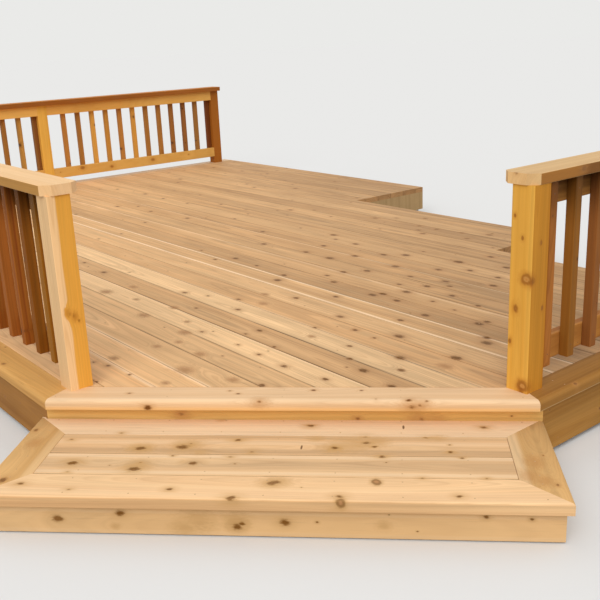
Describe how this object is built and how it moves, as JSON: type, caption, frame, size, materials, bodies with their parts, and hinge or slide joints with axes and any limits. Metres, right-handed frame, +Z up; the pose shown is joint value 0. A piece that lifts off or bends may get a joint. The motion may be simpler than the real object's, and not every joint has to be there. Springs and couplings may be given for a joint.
{
  "type": "low wooden deck with step",
  "caption": "Low cedar deck with a wide boxed step across its clipped corner, picture-framed boards and slatted guard rails with flat caps, standing on footing pads.",
  "frame": {"origin": "centre of the footprint's bounding box, on the ground", "axes": "+X along the deck boards towards the stepped corner, +Y towards the house wall, +Z up"},
  "size_m": [6.4292, 4.4615, 1.004],
  "materials": {
    "deck_cedar": "smooth bare cedar",
    "trim_cedar": "smooth bare cedar",
    "post_cedar": "smooth bare cedar",
    "baluster_cedar": "smooth bare cedar",
    "framing_wood": "rough treated softwood",
    "concrete": "rough cast concrete"
  },
  "bodies": {
    "root": {"footing_pads": "concrete", "step_sleepers": "framing_wood", "rim_front": "framing_wood", "rim_right": "framing_wood", "rim_left": "framing_wood", "rim_clip": "framing_wood", "border_joists": "framing_wood", "joists": "framing_wood", "ledgers": "framing_wood", "blocking": "framing_wood", "step_frame": "framing_wood", "fascia_front": "trim_cedar", "fascia_right": "trim_cedar", "fascia_left": "trim_cedar", "riser_deck": "trim_cedar", "step_riser": "trim_cedar", "step_sides": "trim_cedar", "border_front": "deck_cedar", "border_right": "deck_cedar", "border_left": "deck_cedar", "border_step": "deck_cedar", "deck_filler": "deck_cedar", "deck_boards_front": "deck_cedar", "deck_boards_middle": "deck_cedar", "deck_boards_house": "deck_cedar", "tread_front": "deck_cedar", "tread_sides": "deck_cedar", "tread_inner": "deck_cedar", "tread_back": "deck_cedar", "cap_front": "deck_cedar", "cap_left": "deck_cedar", "cap_right": "deck_cedar", "post_step_left": "post_cedar", "post_step_right": "post_cedar", "posts_front": "post_cedar", "posts_left": "post_cedar", "post_house": "post_cedar", "rails_front": "post_cedar", "rails_left": "post_cedar", "rails_right": "post_cedar", "balusters_front_1": "baluster_cedar", "balusters_front_2": "baluster_cedar", "balusters_front_3": "baluster_cedar", "balusters_left_1": "baluster_cedar", "balusters_left_2": "baluster_cedar", "balusters_right": "baluster_cedar"}
  },
  "joints": []
}
